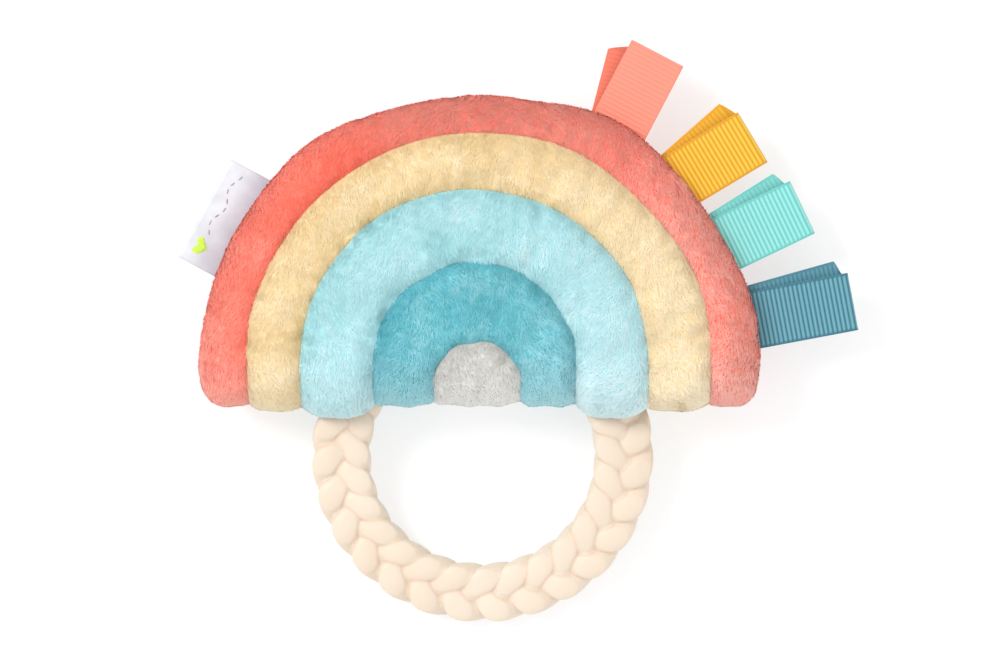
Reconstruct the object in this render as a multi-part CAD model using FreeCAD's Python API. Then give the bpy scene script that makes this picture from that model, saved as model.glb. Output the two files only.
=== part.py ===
"""Teething toy: a stuffed plush rainbow with a braided silicone ring held in its bottom seam.

The toy lies on its back. +X runs across the rainbow, +Y from the ring to the top of the arch, and +Z
up from the surface that it lies on. The origin is on that surface, below the middle of the arches.
All sizes are in millimetres. One STEP file is written for each separate piece.
"""

import FreeCAD, Part
import math
import os

from FreeCAD import Rotation, Vector

# ---- driving dimensions -------------------------------------------------------------------------
THICKNESS = 28.0  # stuffed thickness of the rainbow
SEAM_Z = THICKNESS / 2  # the seam that joins the front panels to the back panels
ARCH_RADIUS = 61.3  # outside of the rainbow
ARCH_CENTRE_Y = -2.2
FOOT_Y = -10.0  # bottom edge of the rainbow
FOOT_CORNER = 7.0  # corner radius at the two outer feet, seen from above
EDGE_ROUND = 6.5  # rounding of the cushion's edge
FABRIC = 1.6  # thickness of the pile fabric
STUFFING_GAP = 0.2  # between the fabric and the fibre filling

# The inner bands: radius, centre x and centre y of the outside of each one's arch.
BANDS = {
    "cream_band": (50.3, 0.0, 0.2),
    "aqua_band": (37.8, -1.1, 0.4),
    "teal_band": (22.0, -1.0, 0.4),
    "grey_arch": (9.45, -0.5, -4.0),
}

RING_CENTRE = Vector(0.65, -20.05, 10.6)
RING_RADIUS = 31.15  # middle of the braid
BRAID_WIDTH = 13.0
BRAID_THICKNESS = 9.0
RING_DROOP = 11.0  # degrees: the free side of the ring hangs down to the surface
RING_CLEARANCE = 0.4  # all round the braid, in its channel through the stuffing

RIBBON_WIDTH = 12.8
RIBBON_THICKNESS = 0.4
RIBBON_GAP = 0.8  # from the rainbow's edge to the bend line
# Each ribbon loop: place on the arch and pointing direction in degrees, length from the edge.
RIBBONS = {
    "coral_ribbon_loop": (60.6, 62.4, 19.4),
    "yellow_ribbon_loop": (44.1, 30.9, 18.5),
    "aqua_ribbon_loop": (28.0, 25.7, 18.5),
    "blue_ribbon_loop": (11.3, 10.7, 22.2),
}
RIBBON_END_RADIUS = 1.4  # outside of the fold at a loop's end
LABEL = (148.3, 151.5, 9.2)
LABEL_WIDTH = 24.4
LABEL_THICKNESS = 0.3
LABEL_END_RADIUS = 0.9

CAPSULE_CENTRE = Vector(0.0, 36.0, SEAM_Z)
CAPSULE_RADIUS = 13.0
CAPSULE_HEIGHT = 15.0
CAPSULE_WALL = 1.2
CAPSULE_EDGE = 2.0  # outside rounding
CAPSULE_LIP = 1.5  # height of the lip that joins the two halves
CAPSULE_LIP_WALL = 0.55
CAPSULE_FIT = 0.05
CAPSULE_POCKET = 0.3  # gap to the stuffing

BEAD_RADIUS = 2.0
BEAD_LIFT = 0.05
# Where each bead lies in the capsule: its lane across the capsule, and its place along the lane.
BEADS = [(-8.4, 1.5), (-4.2, -5.0), (0.0, 6.0), (4.2, -1.5), (8.4, -2.5)]

BELOW = -30.0  # a y safely below the rainbow
WHOLE = 400.0  # larger than the toy


# ---- shared shapes ------------------------------------------------------------------------------
def line(a, b):
    return Part.LineSegment(a, b).toShape()


def arc_round(centre, radius, start, end):
    """An arc about centre from one angle to another, in degrees, in the XY plane."""
    angles = [math.radians(a) for a in (start, (start + end) / 2, end)]
    points = [centre + Vector(radius * math.cos(a), radius * math.sin(a), 0) for a in angles]
    return Part.Arc(*points).toShape()


def cushion(inset):
    """The rainbow's half-round cushion, taken in from its outside by inset all over."""
    radius = ARCH_RADIUS - inset
    corner = FOOT_CORNER - inset
    foot = FOOT_Y + inset
    low = Vector(0, 0, inset)
    centre = Vector(0, ARCH_CENTRE_Y, 0) + low
    left, right = Vector(-radius, 0, 0) + low, Vector(radius, 0, 0) + low
    up = Vector(0, foot + corner, 0)
    right_corner = Vector(radius - corner, foot + corner, 0) + low
    left_corner = Vector(corner - radius, foot + corner, 0) + low
    edges = [
        arc_round(centre, radius, 180, 0),
        line(right + Vector(0, ARCH_CENTRE_Y, 0), right + up),
        arc_round(right_corner, corner, 0, -90),
        line(right_corner - Vector(0, corner, 0), left_corner - Vector(0, corner, 0)),
        arc_round(left_corner, corner, -90, -180),
        line(left + up, left + Vector(0, ARCH_CENTRE_Y, 0)),
    ]
    outline = Part.Face(Part.Wire(edges))
    block = outline.extrude(Vector(0, 0, THICKNESS - 2 * inset))
    flat_z = (inset, THICKNESS - inset)
    rims = [
        e
        for e in block.Edges
        if any(abs(e.BoundBox.ZMin - z) + abs(e.BoundBox.ZMax - z) < 1e-4 for z in flat_z)
    ]
    return block.makeFillet(EDGE_ROUND - inset, rims)


def arch_prism(radius, x, y):
    """Everything inside one arch and between its straight legs, from below the toy to above it."""
    edges = [
        arc_round(Vector(x, y, 0), radius, 180, 0),
        line(Vector(x + radius, y, 0), Vector(x + radius, BELOW, 0)),
        line(Vector(x + radius, BELOW, 0), Vector(x - radius, BELOW, 0)),
        line(Vector(x - radius, BELOW, 0), Vector(x - radius, y, 0)),
    ]
    return Part.Face(Part.Wire(edges)).extrude(Vector(0, 0, THICKNESS))


def half_space(above):
    """A block that covers the toy above or below the seam."""
    low = SEAM_Z if above else SEAM_Z - WHOLE
    return Part.makeBox(WHOLE, WHOLE, WHOLE, Vector(-WHOLE / 2, -WHOLE / 2, low))


def ring_shape(clearance):
    """The ring, or with clearance its channel, hanging down from the bottom seam to the surface."""
    half_width = BRAID_WIDTH / 2 + clearance
    half_thickness = BRAID_THICKNESS / 2 + clearance
    middle = Vector(RING_RADIUS, 0, 0)
    outward, upward = Vector(half_width, 0, 0), Vector(0, 0, half_thickness)
    ellipse = Part.Ellipse(middle + outward, middle + upward, middle).toShape()
    section = Part.Face(Part.Wire([ellipse]))
    ring = section.revolve(Vector(0, 0, 0), Vector(0, 0, 1), 360)
    ring.Placement = FreeCAD.Placement(RING_CENTRE, Rotation(Vector(1, 0, 0), RING_DROOP))
    return Part.Solid(ring) if ring.ShapeType == "Shell" else ring


def drum(radius, height, edge, low):
    """A round block with its rims rounded, standing at height low under the capsule's centre."""
    base = Vector(CAPSULE_CENTRE.x, CAPSULE_CENTRE.y, low)
    block = Part.makeCylinder(radius, height, base)
    rims = [e for e in block.Edges if abs(e.BoundBox.ZMax - e.BoundBox.ZMin) < 1e-4]
    return block.makeFillet(edge, rims) if edge else block


# ---- the pieces ---------------------------------------------------------------------------------
def fabric_panels(channel):
    """The five front panels and the five back ones, each a curved sheet of pile fabric."""
    skin = cushion(0).cut(cushion(FABRIC)).cut(channel)
    prisms = [arch_prism(*sizes) for sizes in BANDS.values()]
    names = ["coral_band", *BANDS]
    pieces = {}
    for side, above in (("front", True), ("back", False)):
        rest = skin.common(half_space(above))
        for name, inside in zip(names, [*prisms, None]):
            panel = rest.cut(inside) if inside else rest
            # The channel can leave a loose sliver at a foot, which is not part of the panel.
            pieces[f"{side}_{name}"] = max(panel.Solids, key=lambda solid: solid.Volume)
            rest = rest.common(inside) if inside else rest
    return pieces


def fibre_filling(channel):
    """The polyester fibre, with a channel for the ring and a pocket for the rattle."""
    pocket = drum(
        CAPSULE_RADIUS + CAPSULE_POCKET,
        CAPSULE_HEIGHT + 2 * CAPSULE_POCKET,
        CAPSULE_EDGE,
        SEAM_Z - CAPSULE_HEIGHT / 2 - CAPSULE_POCKET,
    )
    return cushion(FABRIC + STUFFING_GAP).cut(channel).cut(pocket)


def rattle_capsule():
    """The round plastic capsule: a lower half with a lip and an upper half that fits over it."""
    low = SEAM_Z - CAPSULE_HEIGHT / 2
    inner_radius = CAPSULE_RADIUS - CAPSULE_WALL
    hollow = drum(inner_radius, CAPSULE_HEIGHT - 2 * CAPSULE_WALL, 0, low + CAPSULE_WALL)
    shell = drum(CAPSULE_RADIUS, CAPSULE_HEIGHT, CAPSULE_EDGE, low).cut(hollow)
    lip = drum(inner_radius + CAPSULE_LIP_WALL, CAPSULE_LIP, 0, SEAM_Z)
    recess = drum(
        inner_radius + CAPSULE_LIP_WALL + CAPSULE_FIT, CAPSULE_LIP + CAPSULE_FIT, 0, SEAM_Z
    )
    lower = shell.common(half_space(False)).fuse(lip.cut(hollow)).removeSplitter()
    upper = shell.common(half_space(True)).cut(recess)
    return {"rattle_lower_shell": lower, "rattle_upper_shell": upper}


def rattle_beads():
    floor = SEAM_Z - CAPSULE_HEIGHT / 2 + CAPSULE_WALL
    height = floor + BEAD_RADIUS + BEAD_LIFT
    return {
        f"rattle_bead_{number}": Part.makeSphere(
            BEAD_RADIUS, Vector(CAPSULE_CENTRE.x + along, CAPSULE_CENTRE.y + lane, height)
        )
        for number, (lane, along) in enumerate(BEADS, 1)
    }


def loop_profile(length, root_half, end_radius):
    """A narrow drop shape along +X, from a root at x = 0 to a round end at x = length."""
    neck = length - end_radius
    low, high = Vector(neck, 0, -end_radius), Vector(neck, 0, end_radius)
    edges = [Part.Arc(low, Vector(length, 0, 0), high).toShape()]
    if root_half > 0:
        foot, head = Vector(0, 0, -root_half), Vector(0, 0, root_half)
        edges += [line(high, head), line(head, foot), line(foot, low)]
    else:
        edges += [line(high, Vector(0, 0, 0)), line(Vector(0, 0, 0), low)]
    return Part.Face(Part.Wire(edges))


def ribbon_loop(place, direction, length, width, thickness, end_radius):
    """A folded ribbon that stands out from the seam, with its two layers apart towards the fold."""
    hidden = RIBBON_WIDTH / 4  # the stretch behind the bend line, trimmed to the arch below
    outside = loop_profile(length + hidden, thickness, end_radius)
    split_start = hidden + 2 * thickness
    inside = loop_profile(length - 3 * thickness, 0, end_radius - thickness)
    inside.translate(Vector(split_start, 0, 0))
    body = outside.extrude(Vector(0, width, 0)).cut(inside.extrude(Vector(0, width, 0)))
    body.translate(Vector(-hidden, -width / 2, 0))
    angle = math.radians(place)
    root = Vector(
        ARCH_RADIUS * math.cos(angle), ARCH_CENTRE_Y + ARCH_RADIUS * math.sin(angle), SEAM_Z
    )
    turned = FreeCAD.Placement(root, Rotation(Vector(0, 0, 1), direction))
    body.Placement = turned.multiply(body.Placement)
    trim = Part.makeCylinder(ARCH_RADIUS + RIBBON_GAP, THICKNESS, Vector(0, ARCH_CENTRE_Y, 0))
    return body.cut(trim)


def ribbon_loops():
    loops = {
        name: ribbon_loop(*sizes, RIBBON_WIDTH, RIBBON_THICKNESS, RIBBON_END_RADIUS)
        for name, sizes in RIBBONS.items()
    }
    loops["side_label_loop"] = ribbon_loop(*LABEL, LABEL_WIDTH, LABEL_THICKNESS, LABEL_END_RADIUS)
    return loops


def export(pieces):
    os.makedirs("parts", exist_ok=True)
    for name, shape in pieces.items():
        solids = shape.Solids
        if not solids or not all(s.isValid() and s.Volume > 0 for s in solids):
            raise RuntimeError(f"{name} isn't a good solid")
        whole = solids[0] if len(solids) == 1 else Part.makeCompound(solids)
        whole.exportStep(os.path.join("parts", name + ".step"))
        box = whole.BoundBox
        print(
            f"{name}: {len(solids)} solid, {whole.Volume:.0f} mm3, x {box.XMin:.1f} {box.XMax:.1f}"
            f" y {box.YMin:.1f} {box.YMax:.1f} z {box.ZMin:.2f} {box.ZMax:.2f}"
        )


def main():
    channel = ring_shape(RING_CLEARANCE)
    pieces = fabric_panels(channel)
    pieces["fibre_filling"] = fibre_filling(channel)
    pieces["silicone_ring"] = ring_shape(0)
    pieces.update(rattle_capsule())
    pieces.update(rattle_beads())
    pieces.update(ribbon_loops())
    export(pieces)


main()
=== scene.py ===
"""Looks for the teething toy: a stuffed plush rainbow, ribbon loops and a braided silicone ring.

Lengths in this file are in millimetres until they go into a mesh or onto a Blender object.
"""

import math

import bpy
import numpy as np
from mathutils import Matrix, Vector
from mathutils.kdtree import KDTree


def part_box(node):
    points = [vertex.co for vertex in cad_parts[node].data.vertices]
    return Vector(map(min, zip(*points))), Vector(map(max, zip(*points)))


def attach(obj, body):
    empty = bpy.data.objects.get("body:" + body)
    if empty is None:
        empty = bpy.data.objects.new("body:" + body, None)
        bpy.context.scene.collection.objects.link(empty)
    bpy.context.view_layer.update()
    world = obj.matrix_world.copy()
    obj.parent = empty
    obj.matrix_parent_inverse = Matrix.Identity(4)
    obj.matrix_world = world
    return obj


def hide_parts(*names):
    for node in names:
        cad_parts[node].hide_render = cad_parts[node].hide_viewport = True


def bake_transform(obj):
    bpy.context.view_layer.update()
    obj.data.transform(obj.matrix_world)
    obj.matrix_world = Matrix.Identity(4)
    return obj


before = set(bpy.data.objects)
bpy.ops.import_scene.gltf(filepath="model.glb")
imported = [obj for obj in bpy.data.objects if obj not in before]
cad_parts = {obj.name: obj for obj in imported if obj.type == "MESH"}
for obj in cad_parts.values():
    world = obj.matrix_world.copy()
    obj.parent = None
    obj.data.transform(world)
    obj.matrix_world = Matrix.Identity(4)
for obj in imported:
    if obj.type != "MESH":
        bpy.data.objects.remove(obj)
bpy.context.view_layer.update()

MM = 0.001
SEAM_Z = 14.0

# ---- the rainbow's plan ----------------------------------------------------------------------
# The outside of each arch, from the outer one in: its radius, centre x and centre y.
ARCHES = (
    (61.3, 0.0, -2.2),
    (50.3, -0.1, 0.2),
    (37.8, -1.1, 0.4),
    (22.0, -1.0, 0.4),
    (9.45, -0.5, -4.0),
)
OUTER_RADIUS = ARCHES[0][0]
INNERMOST = 0.02  # the radius at which the innermost panel ends
BANDS = ("coral", "cream", "aqua", "teal", "grey")
# The bottom edge: its y at the outer ends and at each arch seam, and at the middle of each foot.
SEAM_FEET = (-8.6, -8.3, -9.2, -8.5, -8.0)
FOOT_MIDDLES = (-9.1, -10.1, -11.4, -9.0, -8.9)
FOOT_CORNER = 5.5  # corner radius at the two outer feet
MIDDLE_Y = 20  # about the middle of the plush

# ---- the ring --------------------------------------------------------------------------------
RING_CENTRE = np.array((0.65, -20.05, 10.6))
RING_RADIUS = 31.15
RING_DROOP = math.radians(11.0)
RING_PLACE = Matrix.Translation(Vector(RING_CENTRE * MM)) @ Matrix.Rotation(RING_DROOP, 4, "X")

# ---- ribbon loops and the label --------------------------------------------------------------
# Each ribbon: its place on the arch and direction in degrees, its length, and how its under layer
# lies: how far that is turned in degrees and moved aside, and how far past the fold it starts to.
RIBBON_WIDTH = 12.8
RIBBONS = {
    "coral": (60.6, 62.4, 19.4, (13.0, 0.0, 2.1)),
    "yellow": (44.1, 30.9, 18.5, (10.5, 0.6, 0.9)),
    "aqua": (28.0, 25.7, 18.5, (6.4, 1.2, 1.6)),
    "blue": (11.3, 10.7, 22.2, (5.0, 1.3, 1.7)),
}
RIBBON_THICKNESS, RIBBON_FOLD, RIBBON_BOW = 0.34, 1.15, 0.12
RIB_PITCH, RIB_HEIGHT = 1.0, 0.13
LABEL = (148.3, 151.5, 9.4, 24.4)  # place, direction, length and width
LABEL_THICKNESS, LABEL_FOLD, LABEL_BOW = 0.22, 0.62, 0.35
BOW_WAVES = (5.0, 0.8)  # waves across a strip's width, and where they start, in radians
SEWN_IN = 3.2  # length of each layer inside the seam


# ---- meshes ----------------------------------------------------------------------------------
def make_object(name, points, *polygons):
    """A mesh object from points in millimetres and arrays of polygons."""
    loops = np.concatenate([p.reshape(-1) for p in polygons]).astype(np.int32)
    totals = np.concatenate([np.full(len(p), p.shape[1], np.int32) for p in polygons])
    starts = np.concatenate([[0], np.cumsum(totals)[:-1]]).astype(np.int32)
    me = bpy.data.meshes.new(name)
    me.vertices.add(len(points))
    me.vertices.foreach_set("co", (np.asarray(points) * MM).astype(np.float32).reshape(-1))
    me.loops.add(len(loops))
    me.loops.foreach_set("vertex_index", loops)
    me.polygons.add(len(totals))
    me.polygons.foreach_set("loop_start", starts)
    me.polygons.foreach_set("loop_total", totals)
    me.polygons.foreach_set("use_smooth", np.full(len(totals), True))
    me.update(calc_edges=True)
    me.validate()
    obj = bpy.data.objects.new(name, me)
    bpy.context.scene.collection.objects.link(obj)
    return obj


def grid_quads(rows, columns, wrap_rows=False, wrap_columns=False):
    """Quads over a grid of points stored row by row."""
    i = np.arange(rows if wrap_rows else rows - 1)[:, None]
    j = np.arange(columns if wrap_columns else columns - 1)[None, :]
    i2, j2 = (i + 1) % rows, (j + 1) % columns
    quads = np.stack([i * columns + j, i2 * columns + j, i2 * columns + j2, i * columns + j2], -1)
    return quads.reshape(-1, 4)


def add_layer(obj, name, values):
    """A number at each vertex, which the material's nodes read."""
    layer = obj.data.attributes.new(name, "FLOAT", "POINT")
    layer.data.foreach_set("value", np.asarray(values, np.float32).reshape(-1))


def add_vector_layer(obj, name, values):
    layer = obj.data.attributes.new(name, "FLOAT_VECTOR", "POINT")
    layer.data.foreach_set("vector", np.asarray(values, np.float32).reshape(-1))


def applied(obj):
    """Replaces the object's mesh by what its modifiers make of it."""
    graph = bpy.context.evaluated_depsgraph_get()
    made = bpy.data.meshes.new_from_object(obj.evaluated_get(graph))
    old, obj.data = obj.data, made
    obj.modifiers.clear()
    bpy.data.meshes.remove(old)
    return obj


def coordinates(obj):
    """The vertices of an object at the origin, in millimetres."""
    co = np.empty(len(obj.data.vertices) * 3, np.float32)
    obj.data.vertices.foreach_get("co", co)
    return co.reshape(-1, 3).astype(float) / MM


class Waves:
    """Smooth, repeatable noise over the plane: a sum of sine waves about one size."""

    def __init__(self, seed, size, count=14):
        rng = np.random.default_rng(seed)
        angle = rng.uniform(0, 2 * np.pi, count)
        rate = 2 * np.pi / size * rng.uniform(0.6, 1.5, count)
        self.kx = rate * np.cos(angle)
        self.ky = rate * np.sin(angle)
        self.phase = rng.uniform(0, 2 * np.pi, count)
        self.scale = math.sqrt(2 / count)

    def __call__(self, x, y):
        x, y = np.asarray(x)[..., None], np.asarray(y)[..., None]
        return np.sin(x * self.kx + y * self.ky + self.phase).sum(-1) * self.scale


def smoothstep(x, low, high):
    """0 below low, 1 above high, and a soft step between."""
    t = np.clip((x - low) / (high - low), 0, 1)
    return t * t * (3 - 2 * t)


# ---- the shape of the stuffed rainbow --------------------------------------------------------
ARCH_WAVES = [Waves(40 + k, 0.75, 8) for k in range(len(ARCHES))]
# Soft departures of the outer arch from its circle: each one's size, middle and spread in degrees.
OUTER_SHAPE = (
    (1.6, 61, 13),
    (1.9, 125, 15),
    (-0.5, 30, 12),
    (-0.6, 95, 35),
    (-0.5, 78, 8),
)


def arch_drift(k, angle):
    """How far arch k leaves its circle at an angle in radians: soft shoulders and sewing wobble."""
    degrees = np.degrees(angle)
    wobble = 0.22 * ARCH_WAVES[k](angle, 0 * angle) * smoothstep(np.sin(angle), 0.0, 0.25)
    if k:
        return wobble
    bumps = [size * np.exp(-(((degrees - at) / spread) ** 2)) for size, at, spread in OUTER_SHAPE]
    left, right, waist, crown, dent = bumps
    return wobble * 1.4 + 0.5 + (left + right) + waist + (crown + dent)


def arch_distance(k, x, y):
    """Distance inside arch k and its legs, in plan."""
    radius, cx, cy = ARCHES[k]
    above = y > cy
    angle = np.arctan2(np.maximum(y - cy, 0), x - cx)
    reach = np.where(above, np.hypot(x - cx, y - cy), np.abs(x - cx))
    return radius + arch_drift(k, angle) - reach


def foot_y(x):
    """The bottom edge's y, with one soft scallop for each foot."""
    lefts = [cx - r for r, cx, _ in ARCHES]
    rights = [cx + r for r, cx, _ in ARCHES]
    edges = np.array(lefts + rights[::-1])
    heights = np.array(SEAM_FEET + SEAM_FEET[::-1])
    middles = np.array(FOOT_MIDDLES + FOOT_MIDDLES[-2::-1])
    place = np.clip(np.searchsorted(edges, x, side="right") - 1, 0, len(middles) - 1)
    share = np.clip((x - edges[place]) / (edges[place + 1] - edges[place]), 0, 1)
    line = heights[place] * (1 - share) + heights[place + 1] * share
    bulge = 1 - np.abs(2 * share - 1) ** 3.2
    y = line + (middles[place] - line) * bulge
    corner = np.clip(1 - (OUTER_RADIUS - np.abs(x)) / FOOT_CORNER, 0, 1)
    y = y + FOOT_CORNER * (1 - np.sqrt(1 - corner**2))
    ripple = 0.2 * np.sin(x * 0.93 + 0.6) + 0.08 * np.sin(x * 1.9 + 2.6)
    return y + np.where(np.abs(x) < 22, 1.0, 0.45) * ripple


def rounded(t):
    """A quarter circle: 0 at 0, rising steeply, and level at 1."""
    t = np.clip(t, 0, 1)
    return np.sqrt(1 - (1 - t) ** 2)


# Heights off the seam plane, before the puff of each band.
EDGE_REACH, FOOT_REACH = 15.0, 11.0  # how far in from the edge and the feet the rounding goes
DOME, DOME_RISE, DOME_Y = 11.9, 1.8, -2.0
PUFF = 1.75  # how far each band swells between its seams
SEAM_REACH = 5.6  # how far from a seam its valley reaches
GATHER, GATHER_REACH = 0.22, 4.2  # the small gathers beside each seam
REST_DEPTH = 13.25  # the back lies on the floor, on its pile
REST_SOFT = 0.45  # how softly it flattens there
EDGE_TUCK = 0.011  # how far the seam between the two sides is pulled in, as a share of the size
# Where the ring comes out of the bottom seam: each middle's x, half the width, and how far the seam
# opens there towards the front and towards the back.
MOUTHS, MOUTH_HALF, MOUTH_RISE = (-29.0, 30.3), 7.3, (4.0, 6.0)
SWELL = Waves(7, 26)
DIMPLE = Waves(8, 9)
PUCKER = [Waves(20 + k, 5.2, 10) for k in range(len(ARCHES))]


def ring_mouths(x):
    """1 where the ring comes out of the bottom seam, 0 away from it."""
    return sum(np.sqrt(np.clip(1 - ((x - c) / MOUTH_HALF) ** 2, 0, 1)) for c in MOUTHS)


def height(x, y, front, mouths=True):
    """The fabric's height off the seam plane, under the pile."""
    edge = np.maximum(arch_distance(0, x, y), 0)
    foot = np.maximum(y - foot_y(x), 0)
    across = rounded(edge / EDGE_REACH)
    along = rounded(foot / FOOT_REACH)
    reach = np.hypot(x, y - DOME_Y) / OUTER_RADIUS
    dome = DOME + DOME_RISE * (1 - np.clip(reach, 0, 1) ** 2)
    angle = np.degrees(np.arctan2(y - DOME_Y, x))
    puff, tuck = np.ones_like(x), np.zeros_like(x)
    for k in range(1, len(ARCHES)):
        away = np.abs(arch_distance(k, x, y))
        puff = puff * (1 - np.clip(1 - away / SEAM_REACH, 0, 1) ** 2.3)
        gathers = PUCKER[k](angle * ARCHES[k][0] / 57.3, 0 * x)  # along the arch's length
        tuck += GATHER * gathers * np.exp(-((away / GATHER_REACH) ** 2)) * smoothstep(away, 0.0, 1.6)
    soft = 0.42 * SWELL(x, y) + 0.1 * DIMPLE(x, y)
    full = dome + PUFF * puff + (tuck + soft) * smoothstep(edge, 0, 6)
    mouth = ring_mouths(x) * MOUTH_RISE[0 if front else 1] * mouths
    rise = mouth * (1 - along) * smoothstep(edge, 0, 5) + full * across * along
    if front:
        return rise
    return REST_DEPTH - REST_SOFT * np.log1p(np.exp((REST_DEPTH - rise) / REST_SOFT))


def skin_grid(band, front, mouths=True):
    """Points over one band's panel, in rows from its left foot over the arch to its right foot."""
    step = 0.85
    outer = ARCHES[band]
    inner = ARCHES[band + 1] if band + 1 < len(ARCHES) else (INNERMOST, outer[1], outer[2])
    columns = max(int((outer[0] - inner[0]) / step * (1.5 if band == 0 else 1.0)), 8) + 1
    across = np.linspace(0, 1, columns)
    across = across**1.9 if band == 0 else across - np.sin(across * 2 * np.pi) / (2 * np.pi) * 0.55
    leg = np.linspace(0, 1, 16) ** 1.8
    arc = np.linspace(math.pi, 0, int(outer[0] * math.pi / step))
    rows = [("left", t) for t in leg[:-1]] + [("arc", a) for a in arc]
    rows += [("right", t) for t in leg[-2::-1]]
    radius = outer[0] * (1 - across) + inner[0] * across
    cx = outer[1] * (1 - across) + inner[1] * across
    cy = outer[2] * (1 - across) + inner[2] * across
    x, y = np.empty((len(rows), columns)), np.empty((len(rows), columns))
    for i, (kind, t) in enumerate(rows):
        if kind == "arc":
            angle = np.full(columns, t)
            drift = arch_drift(band, angle) * (1 - across)
            if band + 1 < len(ARCHES):
                drift = drift + arch_drift(band + 1, angle) * across
            x[i] = cx + (radius + drift) * math.cos(t)
            y[i] = cy + (radius + drift) * math.sin(t)
        else:
            side = -1 if kind == "left" else 1
            angle = np.full(columns, math.pi if side < 0 else 0.0)
            drift = arch_drift(band, angle) * (1 - across)
            x[i] = cx + side * (radius + drift)
            low = foot_y(x[i])
            y[i] = low + (cy - low) * t
    z = height(x, y, front, mouths)
    tucked = 1 - EDGE_TUCK * np.exp(-((z / 1.1) ** 2))
    z = SEAM_Z + z if front else SEAM_Z - z
    return np.stack([x * tucked, MIDDLE_Y + (y - MIDDLE_Y) * tucked, z], -1)


def grid_normals(points, front):
    """The outward normal at each point of a panel's grid."""
    along, across = np.gradient(points, axis=0), np.gradient(points, axis=1)
    normals = np.cross(across, along)
    normals /= np.maximum(np.linalg.norm(normals, axis=-1, keepdims=True), 1e-9)
    return normals if front else -normals


# ---- the stuffing pushes the skin out --------------------------------------------------------
CLOTH_VOXEL = 1.35
CLOTH_FRAMES = 20
CLOTH_PRESSURE = 10.0
CLOTH_SPARE = 0.028  # how much larger the cloth is cut than the space it covers
CLOTH_CAP = 1.1  # the furthest that a point is moved
CLOTH_NEIGHBOURS, CLOTH_BLUR = 12, 0.8  # how many of its points each place reads, and how evenly
FOOT_HOLD = 0.92  # how much of the movement is held back at the feet


def closed_skin():
    """All the panels together as one closed skin without mouths: its points and its quads."""
    parts, quads, start = [], [], 0
    for band in range(len(BANDS)):
        for front in (True, False):
            points = skin_grid(band, front, mouths=False)
            faces = grid_quads(*points.shape[:2])
            quads.append((faces[:, ::-1] if front else faces) + start)
            parts.append(points.reshape(-1, 3))
            start += len(parts[-1])
    return np.concatenate(parts), np.concatenate(quads)


def arch_seam_distance(x, y):
    """Distance to the nearest seam between two bands, in plan."""
    return np.min([np.abs(arch_distance(k, x, y)) for k in range(1, len(ARCHES))], axis=0)


def seam_distance(points):
    """Distance to the nearest seam: between two bands, or between the front and the back."""
    arches = arch_seam_distance(points[..., 0], points[..., 1])
    return np.minimum(arches, np.abs(points[..., 2] - SEAM_Z))


def stuffed_skin():
    """Blender's cloth on the whole skin, held at its seams: each point's place, and its movement."""
    points, quads = closed_skin()
    skin = make_object("skin_cloth", points, quads)
    remesh = skin.modifiers.new("even cloth", "REMESH")
    remesh.mode, remesh.voxel_size = "VOXEL", CLOTH_VOXEL * MM
    applied(skin)
    before = coordinates(skin)
    held = 1 - smoothstep(seam_distance(before), 0.7, 1.5)
    group = skin.vertex_groups.new(name="seams")
    for i in np.flatnonzero(held > 0.01):
        group.add([int(i)], float(held[i]), "REPLACE")
    cloth = skin.modifiers.new("stuffing", "CLOTH")
    settings = cloth.settings
    settings.quality = 5
    settings.mass = 0.02
    settings.tension_stiffness = settings.compression_stiffness = 8
    settings.shear_stiffness = 3
    settings.bending_stiffness = 0.02
    settings.use_pressure, settings.uniform_pressure_force = True, CLOTH_PRESSURE
    settings.vertex_group_mass = "seams"
    settings.shrink_min = settings.shrink_max = -CLOTH_SPARE
    settings.effector_weights.gravity = 0
    cloth.collision_settings.use_collision = False
    for step in range(1, CLOTH_FRAMES + 1):
        bpy.context.scene.frame_set(step)
    applied(skin)
    bpy.context.scene.frame_set(1)
    moved = coordinates(skin) - before
    bpy.data.objects.remove(skin)
    return before, moved


class Stuffing:
    """How far the stuffing moves the skin at any place on it, read from the cloth simulation."""

    def __init__(self):
        self.moved = None
        before, self.moved = stuffed_skin()
        self.tree = KDTree(len(before))
        for i, place in enumerate(before):
            self.tree.insert(place, i)
        self.tree.balance()

    def __call__(self, points):
        if self.moved is None:
            return points
        flat = points.reshape(-1, 3)
        shift = np.empty_like(flat)
        for i, place in enumerate(flat):
            near = self.tree.find_n(place, CLOTH_NEIGHBOURS)
            weights = np.array([1 / (found[2] ** 2 + CLOTH_BLUR) for found in near])
            shift[i] = weights @ self.moved[[found[1] for found in near]] / weights.sum()
        size = np.linalg.norm(shift, axis=1, keepdims=True)
        shift *= np.minimum(1, CLOTH_CAP / np.maximum(size, 1e-9))
        shift *= smoothstep(seam_distance(flat), 0.2, 1.4)[:, None]
        foot = smoothstep(flat[:, 1] - foot_y(flat[:, 0]), 0.5, 6.0)
        hold = np.maximum(ring_mouths(flat[:, 0]), FOOT_HOLD)
        shift *= (1 - hold * (1 - foot))[:, None]
        moved = flat + shift
        moved[:, 2] = np.maximum(moved[:, 2], SEAM_Z - REST_DEPTH)
        return moved.reshape(points.shape)


STUFFING = Stuffing()


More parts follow.
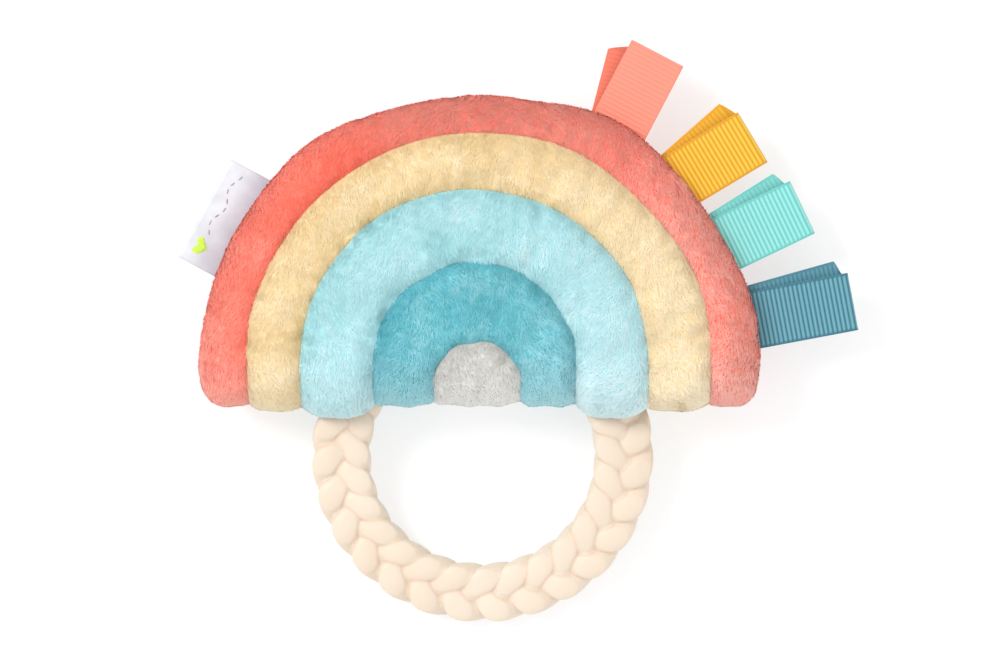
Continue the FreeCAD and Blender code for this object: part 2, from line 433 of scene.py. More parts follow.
# ---- pile ------------------------------------------------------------------------------------
PILE_LENGTH, PILE_WIDTH = 1.55, 0.17
PILE_SUNK = 0.25  # how deep in the fabric each blade starts
PILE_LIFT = (27, 8)  # a blade's angle off the fabric in degrees, and how much that varies
PILE_DENSITY = {"front": 20.0, "back": 14.0}
BLADE_POINTS = 5
ROOT_TO_TIP = np.array([-0.16, -0.16, 0.0, 0.0, 0.08])  # tone at each of a blade's points: painted shade at the root, painted light at the tip
BRUSHED_AND_LIT_UP = np.array([0.5, 0.5, 0.8, 0.8, 1.0])  # how much of the brushed-up tone and painted light each of them takes
NAP_TURN = Waves(60, 30)
NAP_SMALL = Waves(61, 4.5)
TONE_LARGE = Waves(62, 15)
TONE_SMALL = Waves(63, 3.2)


def scatter(points, normals, per_mm2, rng):
    """Random places on a grid, spread evenly over its area, with their normals."""
    a = points[1:, :-1] - points[:-1, :-1]
    b = points[:-1, 1:] - points[:-1, :-1]
    c = points[1:, 1:] - points[1:, :-1]
    d = points[1:, 1:] - points[:-1, 1:]
    area = (np.linalg.norm(np.cross(a, b), axis=-1) + np.linalg.norm(np.cross(c, d), axis=-1)) / 2
    count = int(area.sum() * per_mm2)
    cell = rng.choice(area.size, count, p=area.reshape(-1) / area.sum())
    i, j = np.divmod(cell, area.shape[1])
    s, t = rng.random(count)[:, None], rng.random(count)[:, None]

    def mixed(grid):
        low = grid[i, j] * (1 - t) + grid[i, j + 1] * t
        high = grid[i + 1, j] * (1 - t) + grid[i + 1, j + 1] * t
        return low * (1 - s) + high * s

    found = mixed(normals)
    return mixed(points), found / np.maximum(np.linalg.norm(found, axis=1, keepdims=True), 1e-9)


def nap_direction(x, y, up, turn):
    """The way the pile lies on a surface: down the toy, with slow drifts and small swirls."""
    angle = -math.pi / 2 + turn + 0.34 * NAP_TURN(x, y) + 0.24 * NAP_SMALL(x, y)
    a, b = np.cos(angle), np.sin(angle)
    steep = np.maximum(np.abs(up[:, 2]), 0.03)
    fall = -(a * up[:, 0] + b * up[:, 1]) * np.sign(up[:, 2])
    lie = np.stack([a * steep, b * steep, fall], -1)
    return lie / np.linalg.norm(lie, axis=1, keepdims=True)


def brushed_and_lit_at(x, y, up):
    """How much of the light tone shows, brushed-up pile together with painted light: at the feet, to
    the right, and at the edge.
    """
    # painted light together with the brushed-up pile: lighter at the feet and towards the right
    brushed_lit_amount = smoothstep(-y, -9, 8) * (0.42 + 0.2 * smoothstep(x, -45, 10))
    brushed_lit_amount = brushed_lit_amount + 0.68 * smoothstep(x, -4, 58) + 0.22 * smoothstep(-x, 34, 56)
    brushed_lit_amount = brushed_lit_amount + 0.25 * np.exp(-((x - 46) ** 2 + (y - 30) ** 2) / 15**2)
    # painted light on the steep sides, lifting their shade
    return brushed_lit_amount + 0.32 * (1 - smoothstep(np.abs(up[:, 2]), 0.1, 0.75))


def make_pile(name, points, normals, per_mm2, seed, turn):
    """Tapered blades of pile over a grid, shaded like the skin they stand on."""
    rng = np.random.default_rng(seed)
    root, up = scatter(points, normals, per_mm2, rng)
    count = len(root)
    x, y = root[:, 0], root[:, 1]
    lie = nap_direction(x, y, up, turn) + rng.normal(0, 0.24, (count, 3))
    lie -= up * (lie * up).sum(1, keepdims=True)
    lie /= np.maximum(np.linalg.norm(lie, axis=1, keepdims=True), 1e-9)
    lift = np.radians(rng.normal(*PILE_LIFT, count))[:, None]
    size = (PILE_LENGTH * rng.uniform(0.7, 1.15, count))[:, None]
    first = lie * np.cos(lift * 1.5) + up * np.sin(lift * 1.5)
    second = lie * np.cos(lift * 0.1) + up * np.sin(lift * 0.1)
    side = np.cross(up, lie) * (PILE_WIDTH / 2)
    side = side + up * (rng.normal(0, 0.28, count)[:, None] * PILE_WIDTH / 2)
    root = root - up * PILE_SUNK
    middle = root + first * size * 0.35
    tip = middle + second * size * 0.65
    narrower = side * 0.85
    corners = np.stack([root - side, root + side, middle + narrower, middle - narrower, tip], 1)
    corners = corners.reshape(-1, 3)
    corners[:, 2] = np.maximum(corners[:, 2], 0.04)  # clear of the floor
    start = np.arange(count)[:, None] * BLADE_POINTS
    obj = make_object(name, corners, start + [0, 3, 2, 1], start + [3, 4, 2])
    tone = 0.55 + 0.09 * TONE_LARGE(x, y) + 0.06 * TONE_SMALL(x, y) + rng.normal(0, 0.075, count)
    tone -= 0.2 * np.exp(-((arch_seam_distance(x, y) / 2.4) ** 2))  # painted shade, deeper beside the seams
    # the tone holds painted shade at each blade's root and painted light at its tip
    add_layer(obj, "tone", np.clip(tone[:, None] + ROOT_TO_TIP, 0, 1))
    # the brushed-up pile's light tone together with painted light
    brushed_lit_share = (brushed_and_lit_at(x, y, up) * rng.uniform(0.8, 1.15, count))[:, None] * BRUSHED_AND_LIT_UP
    add_layer(obj, "brushed_and_lit", np.clip(brushed_lit_share, 0, 1))
    # painted shade at the coral's crown, where its pile looks duller
    crown = smoothstep(y, 38, 56) * (1 - smoothstep(np.abs(x - 4), 18, 38))
    add_layer(obj, "crown_shade", np.repeat(crown, BLADE_POINTS))
    flat = up - lie * 0.10 + rng.normal(0, 0.07, (count, 3))
    flat = np.repeat(flat, BLADE_POINTS, axis=0)
    flat /= np.linalg.norm(flat, axis=1, keepdims=True)
    obj.data.normals_split_custom_set_from_vertices(flat.tolist())
    return obj


# ---- materials -------------------------------------------------------------------------------
def linear(rgb):
    """An everyday 0 to 255 colour as Blender's linear values."""
    shares = [c / 255 for c in rgb]
    return tuple(((c + 0.055) / 1.055) ** 2.4 if c > 0.04 else c / 12.92 for c in shares) + (1,)


class Nodes:
    """A material's node tree, with short ways to add what this file uses."""

    def __init__(self, name, roughness=0.8, **sockets):
        self.material = bpy.data.materials.new(name)
        self.material.use_nodes = True
        self.tree = self.material.node_tree
        self.shader = self.tree.nodes["Principled BSDF"]
        self.shader.inputs["Roughness"].default_value = roughness
        for key, value in sockets.items():
            self.shader.inputs[key.replace("_", " ")].default_value = value

    def add(self, kind, **settings):
        node = self.tree.nodes.new("ShaderNode" + kind)
        for key, value in settings.items():
            setattr(node, key, value)
        return node

    def link(self, a, b):
        self.tree.links.new(a, b)

    def layer(self, name):
        return self.add("Attribute", attribute_name=name)

    def place(self):
        return self.add("TexCoord").outputs["Object"]

    def noise(self, scale, detail=3.0, vector=None):
        node = self.add("TexNoise")
        node.inputs["Scale"].default_value = scale
        node.inputs["Detail"].default_value = detail
        node.inputs["Roughness"].default_value = 0.55
        self.link(vector or self.place(), node.inputs["Vector"])
        return node.outputs["Fac"]

    def maths(self, operation, a, b=0.0):
        node = self.add("Math", operation=operation)
        for socket, value in zip(node.inputs, (a, b)):
            if isinstance(value, (int, float)):
                socket.default_value = value
            else:
                self.link(value, socket)
        return node.outputs[0]

    def ramp(self, factor, *stops):
        node = self.add("ValToRGB")
        elements = node.color_ramp.elements
        while len(elements) < len(stops):
            elements.new(0.5)
        for element, (position, colour) in zip(elements, stops):
            element.position, element.color = position, colour
        self.link(factor, node.inputs["Fac"])
        return node.outputs["Color"]

    def mix(self, factor, a, b, blend="MIX"):
        node = self.add("Mix", data_type="RGBA", blend_type=blend)
        for socket, value in ((node.inputs[0], factor), (node.inputs[6], a), (node.inputs[7], b)):
            if isinstance(value, (int, float, tuple)):
                socket.default_value = value
            else:
                self.link(value, socket)
        return node.outputs[2]

    def colour(self, socket):
        self.link(socket, self.shader.inputs["Base Color"])

    def bump(self, height_socket, distance, strength=1.0):
        node = self.add("Bump")
        node.inputs["Distance"].default_value = distance * MM
        node.inputs["Strength"].default_value = strength
        self.link(height_socket, node.inputs["Height"])
        self.link(node.outputs["Normal"], self.shader.inputs["Normal"])


PLUSH = {  # painted shade deep between the fibres, the fabric's colour, and painted light on the tips
    "coral": ((234, 104, 86), (245, 123, 102), (250, 152, 134)),
    "cream": ((219, 190, 137), (238, 214, 165), (247, 233, 201)),
    "aqua": ((147, 204, 210), (178, 224, 228), (207, 237, 239)),
    "teal": ((70, 157, 173), (108, 191, 202), (156, 215, 223)),
    "grey": ((176, 174, 168), (208, 207, 201), (230, 229, 225)),
}
BRUSHED_AND_LIT = {  # the pile where it is brushed up, together with painted light
    "coral": (250, 190, 178),
    "cream": (248, 235, 206),
    "aqua": (226, 245, 248),
    "teal": (192, 234, 240),
    "grey": (246, 245, 243),
}
CROWN_SHADE = linear((218, 150, 137))  # painted shade: the duller tone of the coral pile at the crown
# How far from straight down the toy each band's pile lies, in radians.
NAP = {"coral": 0.0, "cream": 0.1, "aqua": -0.1, "teal": 0.15, "grey": 0.0}


def pile_material(band):
    """Pile: painted shade at the root and painted light at the tip, with drifts of tone over the
    panel.
    """
    n = Nodes(band + "_pile", 0.75, Sheen_Weight=0.35, Sheen_Roughness=0.45)
    n.shader.inputs["Sheen Tint"].default_value = linear(PLUSH[band][2])
    n.shader.inputs["Specular IOR Level"].default_value = 0.12
    deep, body, light = (linear(c) for c in PLUSH[band])
    speckle = n.maths("MULTIPLY", n.maths("SUBTRACT", n.noise(900, 2.0), 0.5), 0.25)
    tone = n.maths("ADD", n.layer("tone").outputs["Fac"], speckle)
    colour = n.ramp(tone, (0.05, deep), (0.5, body), (0.95, light))
    # the brushed-up pile's light tone, together with painted light
    colour = n.mix(n.layer("brushed_and_lit").outputs["Fac"], colour, linear(BRUSHED_AND_LIT[band]))
    # painted shade: the duller tone at the coral's crown
    if band == "coral":
        colour = n.mix(n.maths("MULTIPLY", n.layer("crown_shade").outputs["Fac"], 0.7), colour, CROWN_SHADE)
    n.colour(colour)
    return n.material


def skin_material(band):
    """The knit under the pile: the deep tone, painted shade between the fibres, with a fine bump."""
    n = Nodes(band + "_knit", 0.9, Sheen_Weight=0.2)
    n.shader.inputs["Specular IOR Level"].default_value = 0.1
    deep, body, _ = (linear(c) for c in PLUSH[band])
    n.colour(n.ramp(n.noise(420, 4.0), (0.3, deep), (0.75, body)))
    n.bump(n.noise(1500, 2.0), 0.2)
    return n.material


# ---- the plush -------------------------------------------------------------------------------
SKIN_THICKNESS = 0.9


def make_plush():
    """The ten panels, each with its own pile."""
    for b, band in enumerate(BANDS):
        knit, pile = skin_material(band), pile_material(band)
        for side in ("front", "back"):
            front = side == "front"
            points = STUFFING(skin_grid(b, front))
            normals = grid_normals(points, front)
            quads = grid_quads(*points.shape[:2])
            if front:
                quads = quads[:, ::-1]
            panel = make_object(f"{band}_panel_{side}", points.reshape(-1, 3), quads)
            solid = panel.modifiers.new("cloth", "SOLIDIFY")
            solid.thickness, solid.offset = SKIN_THICKNESS * MM, -1
            panel.data.materials.append(knit)
            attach(panel, "plush")
            node = "arch" if band == "grey" else "band"
            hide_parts(f"{side}_{band}_{node}")
            seed = 100 + b + (0 if front else 50)
            name = f"{band}_pile_{side}"
            fur = make_pile(name, points, normals, PILE_DENSITY[side], seed, NAP[band])
            fur.data.materials.append(pile)
            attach(fur, "plush")


make_plush()


# ---- filling and rattle ----------------------------------------------------------------------
FILL_SHARE = (0.95, 0.92, 0.8)  # the filling's size, as a share of the skin's
FILL_VOXEL = 1.3
CHANNEL_HALF = (7.0, 5.2)  # the channel for the ring: half its width and half its height


def make_filling():
    """Polyester fibre inside the panels, with room for the ring and for the rattle capsule."""
    points, quads = closed_skin()
    centre = np.array((0, MIDDLE_Y, SEAM_Z))
    points = (points - centre) * FILL_SHARE + centre
    filling = make_object("fibre_fluff", points, quads)
    remesh = filling.modifiers.new("one body", "REMESH")
    remesh.mode, remesh.voxel_size = "VOXEL", FILL_VOXEL * MM
    applied(filling)
    co = coordinates(filling)
    lumps = 0.5 * Waves(90, 8)(co[:, 0] + co[:, 2], co[:, 1] - co[:, 2])
    outward = (co - centre) / np.linalg.norm(co - centre, axis=1, keepdims=True)
    lumpy = co - outward * (0.4 + lumps[:, None] * 0.6)
    filling.data.vertices.foreach_set("co", (lumpy * MM).ravel())

    theta = np.linspace(0, 2 * np.pi, 72, endpoint=False)[:, None]
    turn = np.linspace(0, 2 * np.pi, 20, endpoint=False)[None]
    radius = RING_RADIUS + CHANNEL_HALF[0] * np.cos(turn)
    rise = CHANNEL_HALF[1] * np.sin(turn) + 0 * theta
    channel = np.stack([radius * np.cos(theta), radius * np.sin(theta), rise], -1)
    ring_tool = make_object("channel", channel.reshape(-1, 3), grid_quads(72, 20, True, True))
    ring_tool.data.transform(RING_PLACE)
    low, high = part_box("rattle_lower_shell")[0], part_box("rattle_upper_shell")[1]
    bpy.ops.mesh.primitive_cylinder_add(
        vertices=48,
        radius=(high[0] - low[0]) / 2 + 0.5 * MM,
        depth=high[2] - low[2] + 1.0 * MM,
        location=[(low[i] + high[i]) / 2 for i in range(3)],
    )
    pocket_tool = bpy.context.object
    for tool in (ring_tool, pocket_tool):
        cut = filling.modifiers.new("room", "BOOLEAN")
        cut.operation, cut.object, cut.solver = "DIFFERENCE", tool, "EXACT"
    applied(filling)
    for tool in (ring_tool, pocket_tool):
        bpy.data.objects.remove(tool)
    n = Nodes("polyester_fibre", 0.95, Sheen_Weight=0.4)
    n.colour(n.ramp(n.noise(350, 5.0), (0.3, (0.8, 0.8, 0.78, 1)), (0.7, (0.93, 0.93, 0.92, 1))))
    n.bump(n.noise(600, 5.0), 0.6)
    filling.data.materials.append(n.material)
    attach(filling, "plush")
    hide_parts("fibre_filling")


def dress_rattle():
    """The capsule and the beads keep their CAD shapes and get materials."""
    shell = Nodes("capsule_plastic", 0.4)
    dark, light = (0.8, 0.8, 0.77, 1), (0.84, 0.84, 0.81, 1)
    shell.colour(shell.ramp(shell.noise(90), (0.3, dark), (0.7, light)))
    shell.bump(shell.noise(900), 0.03)
    bead = Nodes("bead_plastic", 0.22)
    dark, light = (0.86, 0.45, 0.08, 1), (0.93, 0.55, 0.12, 1)
    bead.colour(bead.ramp(bead.noise(300), (0.3, dark), (0.7, light)))
    for name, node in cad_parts.items():
        if name.startswith("rattle_"):
            material = (bead if "bead" in name else shell).material
            node.data.materials.clear()
            node.data.materials.append(material)


make_filling()
dress_rattle()


# ---- ribbon loops and the label --------------------------------------------------------------
def root_point(place):
    """A point on the outer arch's edge, at an angle in degrees."""
    radius, cx, cy = ARCHES[0]
    angle = math.radians(place)
    return np.array((cx + radius * math.cos(angle), cy + radius * math.sin(angle), SEAM_Z))


def to_row(points, place, direction):
    """From a loop's own axes (out along the loop, across it, up) to the row frame."""
    a = math.radians(direction)
    out = np.array((math.cos(a), math.sin(a), 0))
    across = np.array((-math.sin(a), math.cos(a), 0))
    points = np.asarray(points, float)
    return (
        root_point(place)
        + points[..., :1] * out
        + points[..., 1:2] * across
        + points[..., 2:] * np.array((0, 0, 1.0))
    )


def loop_rise(out, length, end_radius, thickness):
    """How far each layer of a folded strip lies from the seam plane, along its way out."""
    root_gap = thickness * 0.75
    return root_gap + (end_radius - root_gap) * smoothstep(out, -1.0, length - end_radius)


def strip_bow(across, out, length, width, bow):
    """The soft bow of a strip across its width, growing along its way out."""
    waves, start = BOW_WAVES
    return bow * np.sin(across / width * waves + start) * smoothstep(out, 1.0, length)


def loop_path(length, end_radius, thickness, step):
    """The middle line of a folded strip: its distance out and its height, and its length so far."""
    flat = length - end_radius
    out = np.arange(-SEWN_IN, flat, step)
    rise = loop_rise(out, length, end_radius, thickness)
    turn = np.linspace(math.pi / 2, -math.pi / 2, 28)
    fold = np.stack([flat + end_radius * np.cos(turn), end_radius * np.sin(turn)], -1)
    upper = np.stack([out, rise], -1)
    path = np.concatenate([upper, fold, (upper * (1, -1))[::-1]])
    steps = np.linalg.norm(np.diff(path, axis=0), axis=1)
    return path, np.concatenate([[0], np.cumsum(steps)])


def strip_object(name, place, direction, length, width, under, thickness, end_radius, ribs, bow):
    """A folded strip of woven cloth as one closed mesh, and the flat size of what it was cut from."""
    path, run = loop_path(length, end_radius, thickness, 0.14)
    tangent = np.gradient(path, axis=0)
    tangent /= np.linalg.norm(tangent, axis=1, keepdims=True)
    normal = np.stack([-tangent[:, 1], tangent[:, 0]], -1)
    half = run[-1] / 2
    past = run - half
    turn, aside, start = under
    hidden = smoothstep(past, start, start + 0.7)
    turned = np.radians(turn) * hidden
    columns = 17
    share = np.linspace(-1, 1, columns)
    share = np.sign(share) * (1 - (1 - np.abs(share)) ** 1.5)
    across = share * width / 2
    inside = smoothstep(width / 2 - np.abs(across), 0.25, 0.8)
    rib = np.abs(np.sin(np.pi * run / RIB_PITCH)) ** 1.6 if ribs else 0 * run
    relief = (rib[:, None] - 0.5) * inside * ribs
    faces = []
    for side in (1, -1):
        off = side * (thickness / 2 + relief)
        out = path[:, 0, None] + normal[:, 0, None] * off
        up = path[:, 1, None] + normal[:, 1, None] * off
        wave = strip_bow(across, out, length, width, bow)
        a = turned[:, None]
        x = out * np.cos(a) - across * np.sin(a)
        y = out * np.sin(a) + across * np.cos(a) + aside * hidden[:, None]
        faces.append(np.stack([x, y, up + wave], -1))
    rows = len(path)
    ring = np.concatenate([faces[0], faces[1][:, ::-1]], 1)
    points = to_row(ring, place, direction).reshape(-1, 3)
    quads = grid_quads(rows, 2 * columns, wrap_columns=True)
    j = np.arange(columns - 1)
    cap = np.stack([j, j + 1, 2 * columns - 2 - j, 2 * columns - 1 - j], -1)
    last = (rows - 1) * 2 * columns
    obj = make_object(name, points, quads, cap, cap[:, ::-1] + last)
    both = np.concatenate([across, across[::-1]])
    weave = np.stack(np.broadcast_arrays(run[:, None], both[None], 0.0 * run[:, None]), -1)
    add_vector_layer(obj, "weave", weave.reshape(-1, 3))
    dots = 1 + np.sin(np.pi * run / RIB_PITCH * 4)
    selvage = (1 - smoothstep(width / 2 - np.abs(across), 0.05, 0.4)) * dots[:, None]
    # painted light and shade: highlights on the rib tops and the selvage's loops, shade in the
    # grooves
    lit = np.concatenate([rib[:, None] * inside + selvage * 0.35] * 2, 1)
    add_layer(obj, "rib", lit if ribs else np.ones_like(lit))
    # the under layer, which a ribbon's material paints in shade
    add_layer(obj, "under", np.repeat(smoothstep(past, -0.5, 1.5), 2 * columns))
    return obj, (width * MM, run[-1] * MM)


RIBBON_COLOURS = {  # painted shade in the grooves, painted highlight on the ribs, and painted shade on the under layer
    "coral": ((230, 136, 115), (232, 143, 122), (222, 98, 70)),
    "yellow": ((206, 142, 20), (232, 188, 56), (222, 156, 22)),
    "aqua": ((98, 184, 178), (142, 216, 211), (112, 196, 190)),
    "blue": ((46, 102, 121), (102, 160, 174), (76, 132, 148)),
}


def ribbon_material(colour):
    """Grosgrain: painted highlights on the ribs over painted shade in the grooves, and painted shade
    on the under layer.
    """
    n = Nodes(colour + "_grosgrain", 0.5, Sheen_Weight=0.15)
    n.shader.inputs["Specular IOR Level"].default_value = 0.3
    groove, top, under = (linear(c) for c in RIBBON_COLOURS[colour])
    weave = n.layer("weave").outputs["Vector"]
    speckle = n.maths("MULTIPLY", n.noise(0.9, 3.0, vector=weave), 0.2)
    rib = n.maths("ADD", n.layer("rib").outputs["Fac"], speckle)
    shade = n.ramp(rib, (0.15, groove), (0.95, top))
    # painted shade on the under layer
    n.colour(n.mix(n.maths("MULTIPLY", n.layer("under").outputs["Fac"], 0.6), shade, under))
    threads = n.add("TexWave", wave_type="BANDS", bands_direction="Y")
    threads.inputs["Scale"].default_value = 1.1
    threads.inputs["Distortion"].default_value = 0.4
    n.link(weave, threads.inputs["Vector"])
    n.bump(threads.outputs["Fac"], 0.05, 0.6)
    return n.material


def bend_at_seam(obj):
    """Bakes the strip's object transform into its mesh."""
    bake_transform(obj)


def make_ribbons():
    """Four loops of grosgrain in the seam."""
    for colour, (place, direction, length, under) in RIBBONS.items():
        cloth = (RIBBON_THICKNESS, RIBBON_FOLD, RIB_HEIGHT, RIBBON_BOW)
        name = f"{colour}_ribbon"
        loop, flat = strip_object(name, place, direction, length, RIBBON_WIDTH, under, *cloth)
        loop.data.materials.append(ribbon_material(colour))
        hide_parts(colour + "_ribbon_loop")
        bend_at_seam(loop)


STITCH_ROWS, STITCH_AROUND = 7, 8


def stitch_points(centre, half, spin):
    """A small rounded stitch: an ellipsoid as a grid of points."""
    rows, around = STITCH_ROWS, STITCH_AROUND
    a = np.linspace(0.12, math.pi - 0.12, rows)[:, None]
    b = np.linspace(0, 2 * np.pi, around, endpoint=False)[None]
    p = np.stack(np.broadcast_arrays(-np.cos(a), np.sin(a) * np.cos(b), np.sin(a) * np.sin(b)), -1)
    p = p * half
    c, s = math.cos(spin), math.sin(spin)
    x, y = p[..., 0] * c - p[..., 1] * s, p[..., 0] * s + p[..., 1] * c
    return np.stack([x, y, p[..., 2]], -1).reshape(-1, 3) + centre


def stitches_object(name, stitches, place, direction, colour):
    """Raised embroidery: one small rounded solid for each stitch."""
    rows, around = STITCH_ROWS, STITCH_AROUND
    points, quads, caps = [], [], []
    for k, (centre, half, spin) in enumerate(stitches):
        points.append(stitch_points(np.array(centre), np.array(half), spin))
        start = k * rows * around
        quads.append(grid_quads(rows, around, wrap_columns=True) + start)
        ends = np.arange(around) + start
        caps += [ends[::-1], ends + (rows - 1) * around]
    points = to_row(np.concatenate(points), place, direction)
    obj = make_object(name, points, np.concatenate(quads), np.array(caps))
    n = Nodes(name + "_thread", 0.45, Sheen_Weight=0.2)
    dark, light = (linear(c) for c in colour)
    n.colour(n.ramp(n.noise(1400), (0.3, dark), (0.7, light)))
    obj.data.materials.append(n.material)
    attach(obj, "label")
    return obj


def make_label():
    """A folded satin label in the seam, with a heart and a running stitch embroidered on it."""
    place, direction, length, width = LABEL
    straight = (0.0, 0.0, 0.0)
    cloth = (LABEL_THICKNESS, LABEL_FOLD, 0.0, LABEL_BOW)
    label, flat = strip_object("side_label", place, direction, length, width, straight, *cloth)
    n = Nodes("white_satin", 0.34, Sheen_Weight=0.25)
    n.shader.inputs["Specular IOR Level"].default_value = 0.4
    weave = n.layer("weave").outputs["Vector"]
    dark, light = linear((196, 200, 207)), linear((216, 220, 225))
    tone = n.ramp(n.noise(0.16, 2.0, vector=weave), (0.3, dark), (0.7, light))
    # painted shadow of the plush: the satin darker towards the seam
    along = n.add("SeparateXYZ")
    n.link(weave, along.inputs[0])
    share = n.maths("MULTIPLY", along.outputs["X"], 0.1)
    near = n.ramp(share, (0.3, (0.72, 0.72, 0.78, 1)), (0.95, (1, 1, 1, 1)))
    n.colour(n.mix(1.0, tone, near, "MULTIPLY"))
    threads = n.add("TexWave", wave_type="BANDS", bands_direction="X")
    threads.inputs["Scale"].default_value = 1.3
    n.link(weave, threads.inputs["Vector"])
    n.bump(threads.outputs["Fac"], 0.03, 0.5)
    label.data.materials.append(n.material)
    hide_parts("side_label_loop")
    bend_at_seam(label)

    def top(out, across):
        rise = loop_rise(np.array(out), length, LABEL_FOLD, LABEL_THICKNESS)
        wave = strip_bow(across, np.array(out), length, width, LABEL_BOW)
        return float(rise + wave + LABEL_THICKNESS / 2)

    heart = []  # one stitch beside another, each as long as the heart is there
    for across in np.arange(-1.85, 1.9, 0.27):
        t = abs(across) / 1.95
        low = -1.9 + 1.75 * t**1.1
        high = 0.55 + 0.95 * math.sqrt(max(1 - ((abs(across) - 0.95) / 0.98) ** 2, 0))
        out, half = 6.3 + (low + high) / 2, (high - low) / 2
        heart.append(((out, 7.9 + across, top(out, 7.9 + across)), (half, 0.17, 0.16), 0.0))
    stitches_object("label_heart", heart, place, direction, ((178, 216, 60), (214, 246, 96)))
    dashes = []  # along a gentle wave
    for across in np.arange(4.2, -10.0, -1.95):
        out = 6.0 + 0.7 * math.sin(across * 0.75)
        slope = 0.7 * 0.75 * math.cos(across * 0.75)
        spin = math.pi / 2 + math.atan(-slope)
        dashes.append(((out, across, top(out, across)), (0.62, 0.16, 0.13), spin))
    greys = ((132, 130, 136), (168, 166, 172))
    stitches_object("label_running_stitch", dashes, place, direction, greys)


make_ribbons()
make_label()


# ---- the braided ring ------------------------------------------------------------------------
PERIODS = 9
RING_VOXEL = 0.33
BRAID_REACH, BRAID_RISE = 4.1, 1.6
STRAND_HALF = (3.05, 2.35)
CORE_HALF = (5.8, 2.0)
BRAID_FLATS = (5.9, 2.7)  # past these, out from the middle and up, the moulding is flatter
BRAID_SQUASH = 0.45  # the share that goes of what is past them
CREASE_WIDTH = 0.45
BRAID_PHASE = math.radians(85.5)
BRAID_LEAN = math.radians(0.4)


def strand_path(number, count):
    """One strand's middle line: out and in once each period, while it rises and dips twice."""
    theta = np.linspace(0, 2 * np.pi, count, endpoint=False)
    phase = PERIODS * theta + BRAID_PHASE + number * 2 * np.pi / 3
    wave = np.sin(phase)
    s = BRAID_REACH * np.sign(wave) * np.abs(wave) ** 0.8
    h = BRAID_RISE * np.sin(2 * phase)
    turned = theta - BRAID_LEAN * s
    radius = RING_RADIUS + s
    return np.stack([radius * np.cos(turned), radius * np.sin(turned), h], -1)


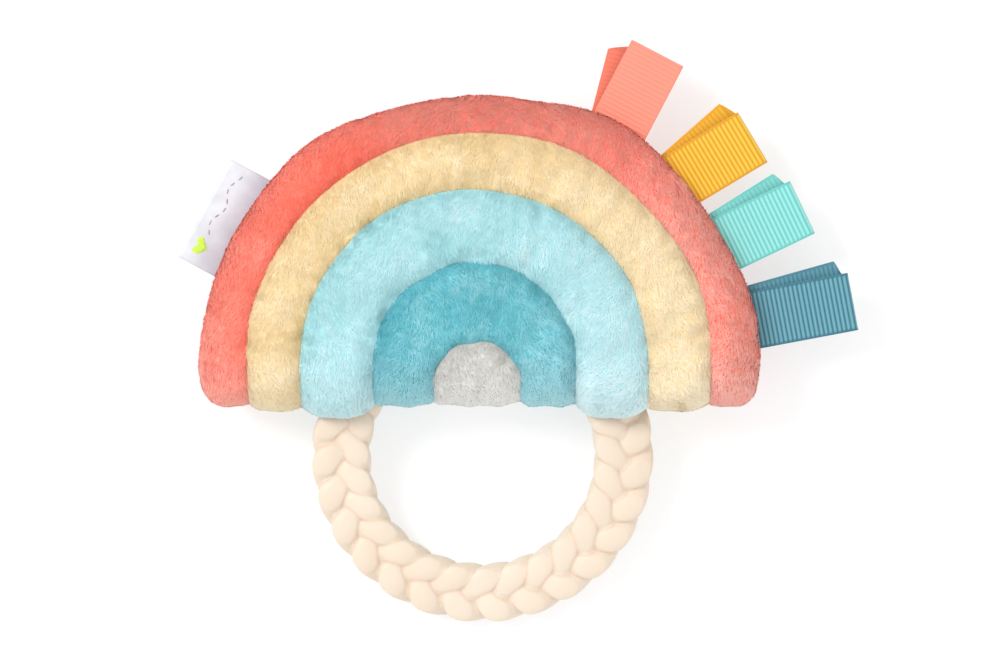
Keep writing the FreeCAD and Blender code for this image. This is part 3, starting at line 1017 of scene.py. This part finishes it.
def make_ring():
    """Three strands and a core, joined into one moulding with soft creases between the strands."""
    count, around = PERIODS * 44, 22
    all_points, all_quads, paths = [], [], []
    for number in range(3):
        path = strand_path(number, count)
        paths.append(path)
        tangent = np.roll(path, -1, 0) - np.roll(path, 1, 0)
        tangent /= np.linalg.norm(tangent, axis=1, keepdims=True)
        aside = np.cross(tangent, [0, 0, 1.0])
        aside /= np.linalg.norm(aside, axis=1, keepdims=True)
        over = np.cross(aside, tangent)
        turn = np.linspace(0, 2 * np.pi, around, endpoint=False)[None, :, None]
        tube = (
            path[:, None]
            + aside[:, None] * np.cos(turn) * STRAND_HALF[0]
            + over[:, None] * np.sin(turn) * STRAND_HALF[1]
        )
        all_quads.append(grid_quads(count, around, True, True) + number * count * around)
        all_points.append(tube.reshape(-1, 3))
    theta = np.linspace(0, 2 * np.pi, count, endpoint=False)[:, None]
    turn = np.linspace(0, 2 * np.pi, around, endpoint=False)[None]
    radius = RING_RADIUS + CORE_HALF[0] * np.cos(turn)
    core = (radius * np.cos(theta), radius * np.sin(theta), CORE_HALF[1] * np.sin(turn) + 0 * theta)
    all_quads.append(grid_quads(count, around, True, True) + 3 * count * around)
    all_points.append(np.stack(core, -1).reshape(-1, 3))
    ring = make_object("braided_ring", np.concatenate(all_points), np.concatenate(all_quads))
    remesh = ring.modifiers.new("one moulding", "REMESH")
    remesh.mode, remesh.voxel_size = "VOXEL", RING_VOXEL * MM
    soften = ring.modifiers.new("soft creases", "SMOOTH")
    soften.factor, soften.iterations = 0.5, 3
    applied(ring)
    for p in ring.data.polygons:
        p.use_smooth = True
    co = coordinates(ring)
    reach = np.hypot(co[:, 0], co[:, 1])
    outward = reach - RING_RADIUS
    over = np.maximum(np.abs(outward) - BRAID_FLATS[0], 0)
    thinner = 1 - BRAID_SQUASH * over * np.sign(outward) / reach
    above = np.maximum(np.abs(co[:, 2]) - BRAID_FLATS[1], 0)
    flatter = co * np.stack([thinner, thinner, np.ones_like(thinner)], -1)
    flatter[:, 2] -= BRAID_SQUASH * above * np.sign(co[:, 2])
    ring.data.vertices.foreach_set("co", (flatter * MM).astype(np.float32).reshape(-1))
    distances = []
    for path in paths:
        tree = KDTree(len(path))
        for i, p in enumerate(path):
            tree.insert(p, i)
        tree.balance()
        distances.append([tree.find(p)[2] for p in co])
    distances = np.sort(np.array(distances), axis=0)
    gap = distances[1] - distances[0]
    # painted shade in the creases between the strands
    add_layer(ring, "crease_shade", np.exp(-((gap / CREASE_WIDTH) ** 2)))
    ring.data.transform(RING_PLACE)
    n = Nodes("ivory_silicone", 0.45, Subsurface_Weight=0.3, Subsurface_Scale=1.6 * MM)
    n.shader.inputs["Subsurface Radius"].default_value = (1.0, 0.8, 0.62)
    n.shader.inputs["Specular IOR Level"].default_value = 0.35
    tone = n.ramp(n.noise(60, 2.0), (0.3, linear((221, 204, 185))), (0.7, linear((226, 211, 193))))
    # painted shade: darker in the creases
    crease_shade = n.maths("MULTIPLY", n.layer("crease_shade").outputs["Fac"], 0.6)
    n.colour(n.mix(crease_shade, tone, linear((218, 188, 164))))
    n.bump(n.noise(700, 2.0), 0.03)
    ring.data.materials.append(n.material)
    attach(ring, "ring")
    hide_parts("silicone_ring")


make_ring()


# ---- camera, floor and light -----------------------------------------------------------------
scene = bpy.context.scene
scene.view_settings.view_transform = "Standard"

FLOOR_HALF = 3000
corners = np.array([[-1, -1, 0], [1, -1, 0], [1, 1, 0], [-1, 1, 0]]) * FLOOR_HALF
floor = make_object("floor", corners, np.array([[0, 1, 2, 3]]))
n = Nodes("floor", 0.9)
n.shader.inputs["Base Color"].default_value = (0.45, 0.45, 0.45, 1)
n.shader.inputs["Emission Color"].default_value = (1, 1, 1, 1)
n.shader.inputs["Emission Strength"].default_value = 0.56
n.shader.inputs["Specular IOR Level"].default_value = 0.0
floor.data.materials.append(n.material)

world = bpy.data.worlds.new("studio")
scene.world = world
world.use_nodes = True
world.node_tree.nodes["Background"].inputs["Color"].default_value = (1, 1, 1, 1)
world.node_tree.nodes["Background"].inputs["Strength"].default_value = 0.95


def area_light(name, place, target, size, power):
    light = bpy.data.lights.new(name, "AREA")
    light.shape, light.size, light.energy = "DISK", size * MM, power
    obj = bpy.data.objects.new(name, light)
    scene.collection.objects.link(obj)
    obj.location = Vector(place) * MM
    obj.rotation_euler = (Vector(target) - Vector(place)).to_track_quat("-Z", "Y").to_euler()


area_light("key", (-600, 360, 850), (0, 0, 0), 420, 6.2)
area_light("fill", (700, -300, 900), (0, 0, 0), 900, 1.6)

VIEW_DISTANCE = 900.0
VIEW_WIDTH = 219.8
VIEW_CENTRE = (4.5, 6.9)
SENSOR = 36
camera = bpy.data.cameras.new("camera")
camera.sensor_width = SENSOR
camera.lens = SENSOR * VIEW_DISTANCE / VIEW_WIDTH
viewer = bpy.data.objects.new("camera", camera)
viewer.location = Vector((*VIEW_CENTRE, SEAM_Z + VIEW_DISTANCE)) * MM
scene.collection.objects.link(viewer)
scene.camera = viewer
